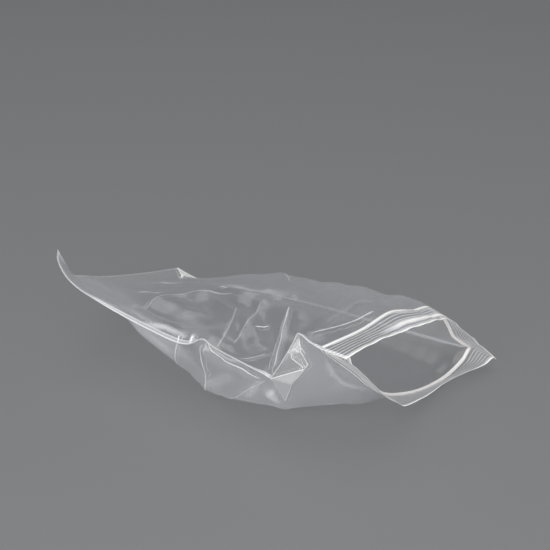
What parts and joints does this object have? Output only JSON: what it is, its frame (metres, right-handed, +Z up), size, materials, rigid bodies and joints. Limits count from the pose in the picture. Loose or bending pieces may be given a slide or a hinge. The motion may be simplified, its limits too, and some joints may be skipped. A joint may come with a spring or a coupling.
{
  "type": "resealable plastic bag",
  "caption": "Clear film bag with a press zip and ribbed grip lips, empty, crumpled and lying open on its side, with welded sides and a folded bottom.",
  "frame": {"origin": "on the table, under the middle of the bag's bounding box", "axes": "+X along the bag from its closed bottom to its mouth, +Y across from the raised near side weld to the far one, +Z up"},
  "size_m": [0.28, 0.1754, 0.0827],
  "materials": {
    "clear_film": "clear gloss film"
  },
  "bodies": {
    "root": {"bag": "clear_film"}
  },
  "joints": []
}
